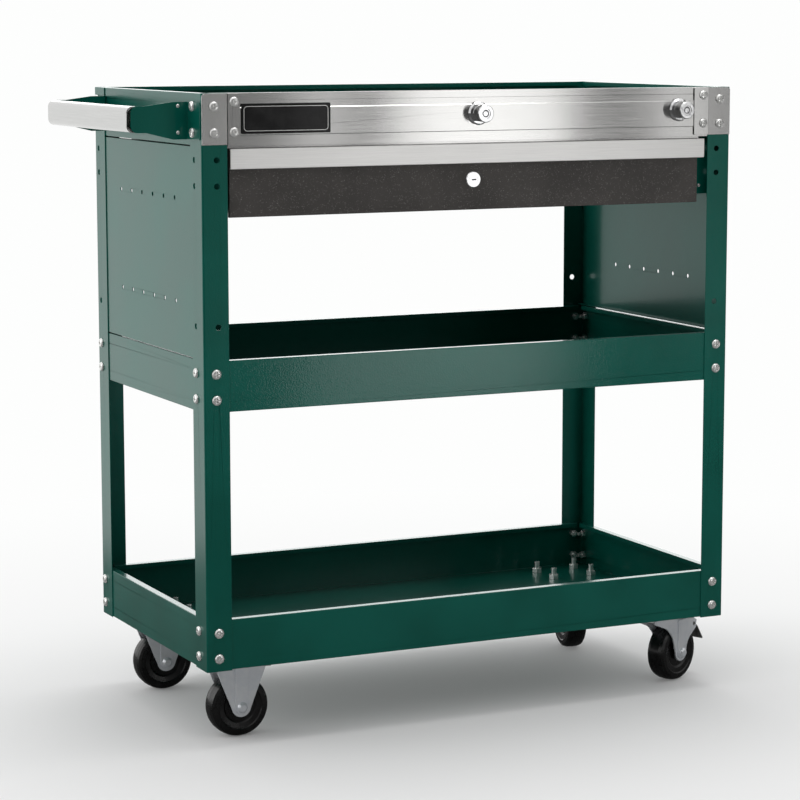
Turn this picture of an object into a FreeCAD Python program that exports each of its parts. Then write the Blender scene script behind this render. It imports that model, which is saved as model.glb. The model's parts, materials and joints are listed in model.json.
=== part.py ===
"""Three-tier tool cart with one drawer, as a parametric document of separate pieces.

The frame's own corner is the outer bottom corner of the front left post: x runs along the
front, y towards the back, z up.  CORNER puts it in the cart's frame, whose origin is on the
floor below the middle of the whole cart.  Lengths are millimetres and angles are degrees.
"""
import FreeCAD, Part
import os
import re
import Sketcher

# ---------------------------------------------------------------- driving dimensions
DIMS = {
    # frame
    "cart_width": 756, "cart_depth": 391, "post_height": 720, "steel": 1.2, "bend": 2.2,
    "fold": 0.9,
    "post_front": 34, "post_side": 38,
    # trays
    "tray_height": 64, "tray_lift": 1, "middle_rim": 391.5,
    "rim_width": 10, "rim_lip": 6, "rim_notch": 2,
    # frame screws and nuts
    "screw_dia": 6, "screw_hole": 6.4, "screw_length": 13, "head_dia": 12.4, "head_height": 3.4,
    "nut_across": 10, "nut_thick": 5, "thread_gap": 0.05,
    "recess_long": 6.4, "recess_wide": 1.3, "recess_deep": 1.8,
    "hole_edge": 16.5, "front_hole_side": 25, "rear_hole_side": 13,
    "hole_drop": 16, "hole_pitch": 32.5,
    "spare_hole": 7.4, "spare_edge": 20, "spare_drop": 81.5, "spare_pitch": 32, "spare_rise": 42,
    # side panels
    "panel_gap": 1.5, "panel_flange": 10, "panel_hole": 5.4, "panel_hole_pitch": 39.4,
    "panel_row_drop": 131.5, "panel_row_rise": 67.5,
    # stainless trim of the front
    "trim_steel": 1, "trim_gap": 0.5, "band_rise": 0.8, "band_drop": 17.5, "band_foot": 52,
    "catch_gap": 0.5, "catch_drop": 10,
    "cap_steel": 0.8, "cap_drop": 63, "cap_margin": 0.5, "cap_corner": 4,
    "clip_left": 16, "clip_right": 22, "clip_steel": 1.2, "clip_corner": 2,
    "clip_screw_edge": 8, "clip_screw_drop": 10.5, "clip_screw_pitch": 37,
    "clip_screw_dia": 4, "clip_screw_hole": 4.4, "clip_head_dia": 12, "clip_head_height": 3.2,
    "clip_screw_length": 8,
    "label_gap": 1.5, "label_drop": 13, "label_long": 119.5, "label_tall": 37, "label_thick": 1.2,
    # tubular locks in the front
    "lock_drop": 29.5, "lock_clip_gap": 8.5, "bezel_dia": 30, "bezel_thick": 4,
    "lock_dia": 22.5, "lock_proud": 22, "thread_dia": 19, "thread_length": 20, "thread_hole": 19.6,
    "core_dia": 13, "core_gap": 0.05, "core_recess": 1, "keyway_out": 9.6, "keyway_in": 6,
    "keyway_deep": 6, "cam_long": 24, "cam_wide": 13, "cam_steel": 2, "cam_lift": 1.5,
    "lock_nut_across": 25, "lock_nut_thick": 5,
    # drawer
    "face_gap_left": 4.5, "face_gap_right": 12, "face_set": 6, "face_drop": 3, "face_tall": 84.5,
    "face_return": 5.5, "pull_tall": 25, "pull_set": 1, "pull_gap": 4.5, "pull_steel": 1.2,
    "pull_hem": 3, "box_rise": 2.5, "box_tall": 66, "box_room": 23.8, "box_hem": 6,
    "latch_rise": 38.5, "latch_flange": 21, "latch_flange_thick": 2, "latch_dia": 16,
    "latch_hole": 16.4, "latch_back": 13.5, "latch_core": 11, "latch_cam_long": 44,
    "latch_cam_wide": 12, "latch_cam_steel": 1.6, "key_slot_long": 7, "key_slot_wide": 1.8,
    # drawer slides and their brackets
    "slide_thick": 12.7, "slide_tall": 45, "slide_start": 16, "slide_room": 25,
    "slide_rise": 36, "slide_steel": 1.2, "slide_step": 2.4, "slide_ball_gap": 3,
    "bracket_gap": 12.1, "bracket_flange": 30, "bracket_start": 14.5, "bracket_foot": 5.5,
    "bracket_room": 15,
    # handle
    "handle_reach": 80, "handle_steel": 1.5, "arm_drop": 11, "arm_tall": 46, "arm_edge": 1,
    "arm_set": 4.5, "arm_short": 5, "arm_nose_rise": 8.5, "arm_nose_step": 4.5,
    "arm_corner": 9, "grip_deep": 22, "grip_tall": 32, "grip_round": 8,
    "grip_wall": 1.5, "rivet_dia": 5, "rivet_height": 1.4, "rivet_in": 13.5,
    # casters
    "caster_room": 21.5, "caster_inset": 63, "caster_front": 60, "caster_rear": 60,
    "front_yaw": 22, "rear_yaw": -100, "wheel_dia": 80, "tread": 28, "hub_gap": 0.3,
    "plate_margin_long": 11, "plate_margin_wide": 8.5, "plate_thick": 2.5, "plate_corner": 6,
    "bolt_long": 62, "bolt_wide": 51.5, "bolt_dia": 8, "bolt_hole": 8.4, "bolt_across": 13,
    "bolt_head": 5.3, "bolt_nut": 6.5, "bolt_above": 17,
    "fork_gap": 1.5, "fork_steel": 2.2, "fork_half": 34, "fork_skirt": 8,
    "fork_nose": 13,
    "rib_half": 9, "rib_rise": 2, "rib_top": 6, "axle_dia": 8, "axle_hole": 8.3,
    "axle_gap": 0.05, "axle_head_dia": 14, "axle_head": 4,
    "trail": 28, "race_dia": 44, "race_deep": 5.5, "race_gap": 0.6, "crown_gap": 0.3,
    "kingpin_dia": 10, "kingpin_head": 18, "kingpin_head_thick": 2.4, "crown_back": 33,
    "crown_front": 44, "swivel_nose": 12, "flank_round": 24,
    "brake_reach": 6.6, "brake_angle": 51.5, "brake_pin": 5,
    "brake_hub": 9, "brake_steel": 2, "brake_play": 0.4, "brake_tab": 25, "brake_tab_drop": 25,
}
PANEL_HOLES = 6             # holes in each row of a side panel
SIDES = ("left", "right")
ENDS = ("front", "rear")
RIMS = {"bottom": "tray_lift + tray_height", "middle": "middle_rim", "top": "post_height"}

doc = FreeCAD.newDocument("ToolCart")
sheet = doc.addObject("Spreadsheet::Sheet", "dims")
for row, (alias, size) in enumerate(DIMS.items(), start=1):
    sheet.set(f"A{row}", alias)
    sheet.set(f"B{row}", str(size))
    sheet.setAlias(f"B{row}", alias)
doc.recompute()

# places that follow from the sizes, in the frame's own x, y and z unless said otherwise
FASCIA_LOW = "(post_height - tray_height - trim_steel)"
FACE_TOP = f"({FASCIA_LOW} - face_drop)"
FACE_LOW = f"({FACE_TOP} - face_tall)"
PULL_LOW = f"({FACE_TOP} - pull_tall)"
BOX_LOW = f"({FACE_LOW} + box_rise)"
SLIDE_Z = f"({BOX_LOW} + slide_rise)"
LATCH_Z = f"({FACE_LOW} + latch_rise)"
BRACKET_IN = "(post_front + bracket_gap)"
CAP_LOW = "(post_height - cap_drop)"
ARM_TOP = "(post_height - arm_drop)"
ARM_LOW = f"({ARM_TOP} - arm_tall)"
NOSE_TOP = f"({ARM_TOP} - arm_nose_step)"
NOSE_LOW = f"({ARM_LOW} + arm_nose_rise)"
ARM_PLATE = "(post_side + arm_set)"
ARM_NOSE = "(handle_reach - arm_short)"
CASTER_HEIGHT = "(wheel_dia + caster_room)"        # from the floor to the mounting face
FORK_INNER = "(tread/2 + fork_gap)"                # from a wheel's middle plane to a leg
# the brake lever's pin, from the middle of the caster's mounting face
BRAKE_X = "(trail + (wheel_dia/2 + brake_reach)*cos(brake_angle))"
BRAKE_Z = f"((wheel_dia/2 + brake_reach)*sin(brake_angle) + wheel_dia/2 - {CASTER_HEIGHT})"
BRAKE_OUT = (f"(({BRAKE_X} + brake_tab)*cos(front_yaw) + {FORK_INNER}*sin(front_yaw)"
             " - caster_inset)")                   # the front lever's reach past the frame
# the frame's corner in the cart's frame
CORNER = (f"(handle_reach - cart_width - {BRAKE_OUT})/2",
          "(lock_proud - cart_depth - head_height)/2", f"{CASTER_HEIGHT} - tray_lift")
nodes = []


# ---------------------------------------------------------------- document helpers
def linked(expression):
    """The expression with each size written as a reference to its cell."""
    return re.sub(r"[a-z]\w*", lambda word: "dims." + word[0] if word[0] in DIMS else word[0],
                  str(expression))


def value(expression):
    """The number that an expression of sizes gives now."""
    return float(sheet.evalExpression(str(expression)))


def bind(thing, target, expression):
    thing.setExpression(target, linked(expression))


def make_body(label, base=CORNER, yaw=None):
    """A new sub-part whose own frame stands at base, turned by yaw about z."""
    body = doc.addObject("PartDesign::Body", label)
    body.Label = label
    if yaw:
        turned = FreeCAD.Rotation(FreeCAD.Vector(0, 0, 1), value(yaw))
        body.Placement = FreeCAD.Placement(FreeCAD.Vector(), turned)
        bind(body, "Placement.Rotation.Angle", yaw)
    for letter, expression in zip("xyz", base):
        bind(body, f"Placement.Base.{letter}", expression)
    nodes.append(body)
    return body


def circle(x, y, diameter):
    return ("circle", x, y, diameter)


def outline(*points):
    return ("outline", points)


def rectangle(x0, y0, x1, y1):
    return outline((x0, y0), (x1, y0), (x1, y1), (x0, y1))


def chamfered(x0, y0, x1, y1, cut):
    """A rectangle with its four corners cut off at 45 degrees."""
    return outline(
        (f"{x0} + {cut}", y0), (f"{x1} - {cut}", y0), (x1, f"{y0} + {cut}"), (x1, f"{y1} - {cut}"),
        (f"{x1} - {cut}", y1), (f"{x0} + {cut}", y1), (x0, f"{y1} - {cut}"), (x0, f"{y0} + {cut}"))


def hold_point(sketch, geometry, vertex, x, y):
    """Dimension one point of the sketch from its origin."""
    for kind, expression in (("DistanceX", x), ("DistanceY", y)):
        dimension = Sketcher.Constraint(kind, -1, 1, geometry, vertex, value(expression))
        index = sketch.addConstraint(dimension)
        bind(sketch, f"Constraints[{index}]", expression)


def draw_circle(sketch, x, y, diameter):
    centre = FreeCAD.Vector(value(x), value(y), 0)
    round_edge = Part.Circle(centre, FreeCAD.Vector(0, 0, 1), value(diameter) / 2)
    geometry = sketch.addGeometry(round_edge, False)
    index = sketch.addConstraint(Sketcher.Constraint("Diameter", geometry, value(diameter)))
    bind(sketch, f"Constraints[{index}]", diameter)
    hold_point(sketch, geometry, 3, x, y)


def draw_outline(sketch, points):
    spots = [FreeCAD.Vector(value(x), value(y), 0) for x, y in points]
    edges = [Part.LineSegment(a, b) for a, b in zip(spots, spots[1:] + spots[:1])]
    drawn = list(sketch.addGeometry(edges, False))
    for this, following in zip(drawn, drawn[1:] + drawn[:1]):
        sketch.addConstraint(Sketcher.Constraint("Coincident", this, 2, following, 1))
    for geometry, (x, y) in zip(drawn, points):
        hold_point(sketch, geometry, 1, x, y)


def make_sketch(body, plane, level, loops, shift=("0", "0")):
    """A sketch on one of the body's planes, moved to a level along the plane's axis."""
    sketch = body.newObject("Sketcher::SketchObject", f"{body.Label}_sketch")
    face = next(f for f in body.Origin.OriginFeatures if f.Role == f"{plane}_Plane")
    sketch.AttachmentSupport = [(face, "")]
    sketch.MapMode = "FlatFace"
    outward = "-" if plane == "XZ" else ""
    bind(sketch, "AttachmentOffset.Base.x", shift[0])
    bind(sketch, "AttachmentOffset.Base.y", shift[1])
    bind(sketch, "AttachmentOffset.Base.z", f"{outward}({level})")
    for kind, *shape in loops:
        if kind == "circle":
            draw_circle(sketch, *shape)
        else:
            draw_outline(sketch, *shape)
    return sketch


def pad(body, plane, level, length, *loops):
    """Add the loops' area, from the level on along the axis."""
    feature = body.newObject("PartDesign::Pad", f"{body.Label}_pad")
    feature.Profile = make_sketch(body, plane, level, loops)
    feature.Reversed = plane == "XZ"
    bind(feature, "Length", length)


def cut(body, plane, level, length, *loops):
    """Take away the loops' area, from the level on along the axis."""
    doc.recompute()
    before = body.Tip.Shape.Volume
    feature = body.newObject("PartDesign::Pocket", f"{body.Label}_cut")
    feature.Profile = make_sketch(body, plane, level, loops)
    feature.Reversed = plane != "XZ"
    bind(feature, "Length", length)
    doc.recompute()
    if not feature.Shape.Volume < before:
        raise RuntimeError(f"a cut in {body.Label} takes nothing away")


def revolve(body, plane, level, shift, axis, points):
    """Turn an outline about the sketch's own H or V axis, which passes through shift."""
    feature = body.newObject("PartDesign::Revolution", f"{body.Label}_turned")
    sketch = make_sketch(body, plane, level, [outline(*points)], shift)
    feature.Profile = sketch
    feature.ReferenceAxis = (sketch, [f"{axis}_Axis"])
    feature.Angle = 360


def edge_at(**place):
    """Picks the straight edges that lie along the given coordinates."""
    wanted = {letter: value(expression) for letter, expression in place.items()}

    def picks(edge):
        ends = [vertex.Point for vertex in edge.Vertexes]
        return len(ends) == 2 and all(
            abs(getattr(end, letter) - size) < 0.001 for end in ends
            for letter, size in wanted.items())
    return picks


def round_edges(body, radius, *picks):
    """Fillet the edges of the body's last feature that any of the tests picks."""
    doc.recompute()
    base = body.Tip
    names = [f"Edge{number}" for number, edge in enumerate(base.Shape.Edges, start=1)
             if any(pick(edge) for pick in picks)]
    feature = body.newObject("PartDesign::Fillet", f"{body.Label}_round")
    feature.Base = (base, names)
    bind(feature, "Radius", radius)


def make_group(label, template, placements):
    """One node of identical loose pieces: copies of a template body's shape."""
    doc.recompute()
    group = doc.addObject("Part::Feature", label)
    group.Label = label
    copies = []
    for placement in placements:
        copy = template.Shape.copy()
        copy.Placement = placement
        copies.append(copy)
    group.Shape = Part.makeCompound(copies)
    nodes.append(group)


def make_template(label):
    """A body that groups copy and that isn't a node itself."""
    body = make_body(label, base=("0", "0", "0"))
    nodes.remove(body)
    return body


def spot(base, *offset):
    """A point in the cart's frame, from a base and an offset, all as expressions."""
    return FreeCAD.Vector(*[value(a) + value(b) for a, b in zip(base, offset)])


def across(side, distance):
    """x at a distance from the left or right face of the frame."""
    return f"({distance})" if side == "left" else f"(cart_width - ({distance}))"


def deep(end, distance):
    """y at a distance from the front or rear face of the frame."""
    return f"({distance})" if end == "front" else f"(cart_depth - ({distance}))"


def hole_side(end):
    return f"{end}_hole_side"


def rim_rows(rim):
    """Heights of the two screws that hold a tray with this rim."""
    return (f"({rim}) - hole_drop", f"({rim}) - hole_drop - hole_pitch")


# ---------------------------------------------------------------- frame
def make_post(end, side):
    """An angle post with the trays' screw holes and the spare holes."""
    body = make_body(f"post_{end}_{side}")
    angle = (("0", "0"), ("post_front", "0"), ("post_front", "steel"), ("steel", "steel"),
             ("steel", "post_side"), ("0", "post_side"))
    pad(body, "XY", "0", "post_height", outline(*[(across(side, x), deep(end, y)) for x, y in angle]))
    round_edges(body, "bend", edge_at(x=across(side, "0"), y=deep(end, "0")))
    rows = [row for rim in RIMS.values() for row in rim_rows(rim)]
    spares = ["post_height - spare_drop", "post_height - spare_drop - spare_pitch",
              "middle_rim + spare_rise"]
    for plane, wall, holes, spare in (
            ("XZ", deep(end, "steel/2"), across(side, "hole_edge"), across(side, "spare_edge")),
            ("YZ", across(side, "steel/2"), deep(end, hole_side(end)), deep(end, hole_side(end)))):
        loops = [circle(holes, row, "screw_hole") for row in rows]
        loops += [circle(spare, row, "spare_hole") for row in spares]
        cut(body, plane, f"{wall} - steel", "2*steel", *loops)


def tray_ring(inset):
    """The tray's plan, drawn in from its walls' outer faces."""
    edge = f"(steel + {inset})"
    return rectangle(edge, edge, f"cart_width - {edge}", f"cart_depth - {edge}")


def make_tray(name, rim):
    """A folded pan with an inward rim and a turned-down lip, notched at its corners."""
    body = make_body(f"{name}_tray")
    floor = f"({rim}) - tray_height"
    pad(body, "XY", floor, "steel", tray_ring("0"))
    pad(body, "XY", floor, "tray_height", tray_ring("0"), tray_ring("steel"))
    pad(body, "XY", f"({rim}) - steel", "steel", tray_ring("0"), tray_ring("rim_width"))
    pad(body, "XY", f"({rim}) - rim_lip", "rim_lip",
        tray_ring("(rim_width - steel)"), tray_ring("rim_width"))
    far = "steel + rim_width + rim_notch"
    for side in SIDES:
        for end in ENDS:
            cut(body, "XY", f"({rim}) - rim_lip - steel", "rim_lip + 2*steel",
                rectangle(across(side, "2*steel"), deep(end, "2*steel"),
                          across(side, far), deep(end, far)))
    rows = rim_rows(rim)
    cut(body, "XZ", "-steel", "cart_depth + 2*steel",
        *[circle(across(side, "hole_edge"), row, "screw_hole") for side in SIDES for row in rows])
    cut(body, "YZ", "-steel", "cart_width + 2*steel",
        *[circle(deep(end, hole_side(end)), row, "screw_hole") for end in ENDS for row in rows])
    corners = [edge_at(z=level, **{letter: face}) for level in (floor, rim)
               for letter, face in (("x", across("left", "steel")), ("x", across("right", "steel")),
                                    ("y", deep("front", "steel")), ("y", deep("rear", "steel")))]
    round_edges(body, "fold", *corners)
    return body


def make_side_panel(side):
    """A sheet behind the post flanges, folded inwards at its top and bottom."""
    body = make_body(f"side_panel_{side}")
    low = "middle_rim + panel_gap"
    high = "post_height - tray_height - panel_gap"
    channel = (("steel", low), ("panel_flange", low), ("panel_flange", f"{low} + steel"),
               ("2*steel", f"{low} + steel"), ("2*steel", f"{high} - steel"),
               ("panel_flange", f"{high} - steel"), ("panel_flange", high), ("steel", high))
    pad(body, "XZ", "steel", "cart_depth - 2*steel",
        outline(*[(across(side, x), z) for x, z in channel]))
    middle = (PANEL_HOLES - 1) / 2
    cut(body, "YZ", f"{across(side, 'steel*3/2')} - steel", "2*steel",
        *[circle(f"cart_depth/2 + ({number - middle})*panel_hole_pitch", row, "panel_hole")
          for row in ("post_height - panel_row_drop", "middle_rim + panel_row_rise")
          for number in range(PANEL_HOLES)])


# ---------------------------------------------------------------- stainless trim of the front
def clip_x(side):
    return across(side, "post_front + trim_gap + clip_screw_edge")


CLIP_ROWS = ("post_height - clip_screw_drop",
             "post_height - clip_screw_drop - clip_screw_pitch")
FLAT_Y = "steel - trim_steel"
BAND_Y = f"{FLAT_Y} - band_rise"
LOCKS = {"centre": "cart_width/2", "right": (
    "cart_width - (post_front + trim_gap + clip_right + bezel_dia/2 + lock_clip_gap)")}
LOCK_Z = "post_height - lock_drop"


def make_fascia():
    """The creased strip over the top tray's front wall, with the drawer catch under it."""
    body = make_body("front_fascia")
    catch = "face_set + face_return + catch_gap"
    catch_low = f"{FASCIA_LOW} - catch_drop"
    low_inside = f"{FASCIA_LOW} + trim_steel"
    top = "post_height - band_drop"
    foot = "post_height - band_foot"
    profile = (
        (FLAT_Y, "post_height"), (FLAT_Y, top), (BAND_Y, f"{top} - band_rise"),
        (BAND_Y, f"{foot} + band_rise"), (FLAT_Y, foot), (FLAT_Y, FASCIA_LOW),
        (catch, FASCIA_LOW), (catch, catch_low), (f"{catch} + trim_steel", catch_low),
        (f"{catch} + trim_steel", low_inside), ("steel", low_inside),
        ("steel", foot), ("steel - band_rise", f"{foot} + band_rise"),
        ("steel - band_rise", f"{top} - band_rise"), ("steel", top), ("steel", "post_height"))
    start = "post_front + trim_gap"
    pad(body, "YZ", start, f"cart_width - 2*({start})", outline(*profile))
    cut(body, "XZ", f"{BAND_Y} - trim_steel", "steel + 3*trim_steel",
        *[circle(clip_x(side), row, "clip_screw_hole") for side in SIDES for row in CLIP_ROWS],
        *[circle(x, LOCK_Z, "thread_hole") for x in LOCKS.values()])


def make_clip(side):
    """The end plate that clamps the fascia beside a post."""
    body = make_body(f"fascia_bracket_{side}")
    inner = across(side, "post_front + trim_gap")
    outer = across(side, f"post_front + trim_gap + clip_{side}")
    top = "post_height - cap_margin"
    pad(body, "XZ", f"{BAND_Y} - clip_steel", "clip_steel", rectangle(inner, CAP_LOW, outer, top))
    cut(body, "XZ", f"{BAND_Y} - 2*clip_steel", "3*clip_steel",
        *[circle(clip_x(side), row, "clip_screw_hole") for row in CLIP_ROWS])
    round_edges(body, "clip_corner", edge_at(x=outer, z=CAP_LOW), edge_at(x=outer, z=top))


def make_cap(side):
    """The stainless plate on a front post's upper end."""
    body = make_body(f"corner_plate_{side}")
    outer = across(side, "cap_margin")
    top = "post_height - cap_margin"
    pad(body, "XZ", "-cap_steel", "cap_steel",
        rectangle(outer, CAP_LOW, across(side, "post_front"), top))
    cut(body, "XZ", "-2*cap_steel", "3*cap_steel",
        *[circle(across(side, "hole_edge"), row, "screw_hole") for row in rim_rows(RIMS["top"])])
    round_edges(body, "cap_corner", edge_at(x=outer, z=top))


def make_label_plate():
    """The blank plate on the left of the fascia."""
    body = make_body("label_plate")
    left = "post_front + trim_gap + clip_left + label_gap"
    right = f"{left} + label_long"
    top = "post_height - label_drop"
    low = f"{top} - label_tall"
    pad(body, "XZ", f"{BAND_Y} - label_thick", "label_thick", rectangle(left, low, right, top))
    round_edges(body, "clip_corner", *[edge_at(x=x, z=z) for x in (left, right) for z in (low, top)])


# ---------------------------------------------------------------- tubular locks
def make_lock_body(name, x):
    """A turned housing: bezel and barrel outside, threaded barrel through the tray's wall."""
    body = make_body(f"lock_body_{name}")
    front = "steel - band_rise - trim_steel - lock_proud"
    seat = BAND_Y
    bore = "core_dia/2 + core_gap"
    edge = "cam_steel/2"
    revolve(body, "XY", LOCK_Z, (x, "0"), "V", (
        (bore, front), (f"lock_dia/2 - {edge}", front), ("lock_dia/2", f"{front} + {edge}"),
        ("lock_dia/2", f"{seat} - bezel_thick"), ("bezel_dia/2 - bezel_thick/2", f"{seat} - bezel_thick"),
        ("bezel_dia/2", f"{seat} - bezel_thick/2"), ("bezel_dia/2", seat), ("thread_dia/2", seat),
        ("thread_dia/2", "thread_length"), (bore, "thread_length")))


def make_lock_core(name, x):
    """The round plug that turns in the housing, with an annular keyway in its face."""
    body = make_body(f"lock_core_{name}")
    front = "steel - band_rise - trim_steel - lock_proud + core_recess"
    revolve(body, "XY", LOCK_Z, (x, "0"), "V", (
        ("0", front), ("keyway_in/2", front), ("keyway_in/2", f"{front} + keyway_deep"),
        ("keyway_out/2", f"{front} + keyway_deep"), ("keyway_out/2", front),
        ("core_dia/2", front), ("core_dia/2", "thread_length + cam_lift"),
        ("0", "thread_length + cam_lift")))


def make_lock_cam(name, x):
    """The tongue on the plug's rear end, pointing along the front when the lock is open."""
    body = make_body(f"lock_cam_{name}")
    level = "thread_length + cam_lift"
    pad(body, "XZ", level, "cam_steel", circle(x, LOCK_Z, "cam_wide"))
    pad(body, "XZ", level, "cam_steel",
        rectangle(x, f"{LOCK_Z} - cam_wide/2", f"{x} + cam_long", f"{LOCK_Z} + cam_wide/2"))
    round_edges(body, "clip_corner",
                edge_at(x=f"{x} + cam_long", z=f"{LOCK_Z} - cam_wide/2"),
                edge_at(x=f"{x} + cam_long", z=f"{LOCK_Z} + cam_wide/2"))


def hexagon(x, y, across_flats):
    """A hexagon's outline from its width across flats."""
    radius = f"{across_flats}/cos(30)/2"
    return outline(*[(f"{x} + {radius}*cos({turn})", f"{y} + {radius}*sin({turn})")
                     for turn in range(0, 360, 60)])


def make_lock_nuts():
    """The two hexagon nuts that clamp the lock housings to the tray's wall."""
    nut = make_template("lock_nut")
    pad(nut, "XZ", "2*steel", "lock_nut_thick",
        hexagon("0", "0", "lock_nut_across"), circle("0", "0", "thread_dia + 2*thread_gap"))
    make_group("lock_nuts", nut, [FreeCAD.Placement(spot(CORNER, x, "0", LOCK_Z), FreeCAD.Rotation())
                                  for x in LOCKS.values()])


# ---------------------------------------------------------------- drawer
FACE_LEFT = "(post_front + face_gap_left)"
FACE_RIGHT = "(cart_width - post_front - face_gap_right)"
BOX_IN = f"{BRACKET_IN} + steel + slide_thick"
BOX_START = "face_set + steel"
LATCH_X = f"({FACE_LEFT} + {FACE_RIGHT})/2"


def make_drawer_front():
    """The painted face: a shallow pan whose edges return backwards."""
    body = make_body("drawer_front")
    face = (FACE_LEFT, FACE_LOW, FACE_RIGHT, FACE_TOP)
    inside = (f"{FACE_LEFT} + steel", f"{FACE_LOW} + steel", f"{FACE_RIGHT} - steel",
              f"{FACE_TOP} - steel")
    pad(body, "XZ", "face_set", "steel", rectangle(*face))
    pad(body, "XZ", "face_set", "face_return", rectangle(*face), rectangle(*inside))
    cut(body, "XZ", "face_set + steel", "face_return",
        rectangle(f"{FACE_LEFT} + steel", f"{FACE_TOP} - 2*steel", f"{FACE_RIGHT} - steel", FACE_TOP))
    cut(body, "XZ", "face_set - steel", "3*steel", circle(LATCH_X, LATCH_Z, "latch_hole"))
    round_edges(body, "fold", *[edge_at(y="face_set", x=x) for x in (FACE_LEFT, FACE_RIGHT)],
                edge_at(y="face_set", z=FACE_LOW))


def make_drawer_pull():
    """The full-width pull: an open channel that fingers reach from below."""
    body = make_body("drawer_pull")
    front = "pull_set"
    inner = "pull_set + pull_steel"
    start = "(post_front + pull_gap)"
    pad(body, "YZ", start, f"cart_width - 2*{start}", outline(
        (front, PULL_LOW), (front, FACE_TOP), ("face_set", FACE_TOP),
        ("face_set", f"{FACE_TOP} - pull_steel"), (inner, f"{FACE_TOP} - pull_steel"),
        (inner, f"{PULL_LOW} + pull_steel"), (f"{front} + pull_hem", f"{PULL_LOW} + pull_steel"),
        (f"{front} + pull_hem", PULL_LOW)))
    round_edges(body, "fold", edge_at(y=front, z=PULL_LOW), edge_at(y=front, z=FACE_TOP))


def make_drawer_box():
    """The folded box behind the face, with a hem round its open top."""
    body = make_body("drawer_box")
    rear = "cart_depth - box_room"

    def ring(inset):
        return rectangle(f"{BOX_IN} + {inset}", f"{BOX_START} + {inset}",
                         f"cart_width - ({BOX_IN}) - {inset}", f"{rear} - {inset}")
    pad(body, "XY", BOX_LOW, "steel", ring("0"))
    pad(body, "XY", BOX_LOW, "box_tall", ring("0"), ring("steel"))
    pad(body, "XY", f"{BOX_LOW} + box_tall - steel", "steel", ring("0"), ring("box_hem"))
    cut(body, "XZ", f"{BOX_START} - steel", "3*steel",
        circle(LATCH_X, LATCH_Z, "latch_hole"))


def make_latch():
    """The drawer's cam lock: housing, key plug and cam."""
    housing = make_body("drawer_lock_body")
    bore = "latch_core/2 + core_gap"
    seat = "face_set"
    front = "face_set - latch_flange_thick"
    revolve(housing, "XY", LATCH_Z, (LATCH_X, "0"), "V", (
        (bore, front), ("latch_flange/2 - latch_flange_thick/2", front),
        ("latch_flange/2", f"{front} + latch_flange_thick/2"), ("latch_flange/2", seat),
        ("latch_dia/2", seat), ("latch_dia/2", "latch_back"), (bore, "latch_back")))
    plug = make_body("drawer_lock_plug")
    rear = "latch_back + hub_gap"
    revolve(plug, "XY", LATCH_Z, (LATCH_X, "0"), "V", (
        ("0", front), ("latch_core/2", front), ("latch_core/2", rear), ("0", rear)))
    cut(plug, "XZ", f"{front} - steel", "keyway_deep + steel", rectangle(
        f"{LATCH_X} - key_slot_long/2", f"{LATCH_Z} - key_slot_wide/2",
        f"{LATCH_X} + key_slot_long/2", f"{LATCH_Z} + key_slot_wide/2"))
    cam = make_body("drawer_lock_cam")
    pad(cam, "XZ", rear, "latch_cam_steel", circle(LATCH_X, LATCH_Z, "latch_cam_wide"))
    tip = f"{LATCH_X} + latch_cam_long"
    pad(cam, "XZ", rear, "latch_cam_steel", rectangle(
        LATCH_X, f"{LATCH_Z} - latch_cam_wide/2", tip, f"{LATCH_Z} + latch_cam_wide/2"))
    round_edges(cam, "clip_corner", edge_at(x=tip, z=f"{LATCH_Z} - latch_cam_wide/2"),
                edge_at(x=tip, z=f"{LATCH_Z} + latch_cam_wide/2"))


def make_slide_member(name, side, web, lips, half):
    """One channel of a drawer slide, from its web's and its lips' distance to the bracket."""
    body = make_body(f"slide_{name}_{side}")
    base = f"{BRACKET_IN} + steel"
    back = f"{web} - slide_steel" if name == "inner" else f"{web} + slide_steel"
    low = f"{SLIDE_Z} - ({half})"
    high = f"{SLIDE_Z} + {half}"
    channel = ((web, low), (lips, low), (lips, f"{low} + slide_steel"), (back, f"{low} + slide_steel"),
               (back, f"{high} - slide_steel"), (lips, f"{high} - slide_steel"), (lips, high),
               (web, high))
    pad(body, "XZ", "slide_start", "cart_depth - slide_start - slide_room",
        outline(*[(across(side, f"{base} + {x}"), z) for x, z in channel]))


def make_slide(side):
    """A three-part slide: fixed to the bracket, floating, and fixed to the drawer box."""
    half = "slide_tall/2"
    room = "slide_thick - slide_step"
    make_slide_member("outer", side, "0", "slide_thick - slide_ball_gap", half)
    make_slide_member("middle", side, "slide_step", f"{room} + slide_steel", f"{half} - slide_ball_gap")
    make_slide_member("inner", side, "slide_thick", "2*slide_step + slide_steel",
                      f"{half} - 2*slide_ball_gap - slide_steel")


def make_slide_bracket(side):
    """The hanger under the top tray that carries a drawer slide."""
    body = make_body(f"slide_bracket_{side}")
    top = "post_height - tray_height"
    low = f"{SLIDE_Z} - slide_tall/2 - bracket_foot"
    inner = across(side, f"{BRACKET_IN} + steel")
    outer = across(side, f"{BRACKET_IN} + steel - bracket_flange")
    depth = "cart_depth - bracket_room - bracket_start"
    pad(body, "XZ", "bracket_start", depth, rectangle(across(side, BRACKET_IN), low, inner, top))
    pad(body, "XZ", "bracket_start", depth, rectangle(outer, f"{top} - steel", inner, top))
    pad(body, "XZ", "bracket_start", "steel", rectangle(outer, low, inner, top))


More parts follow.
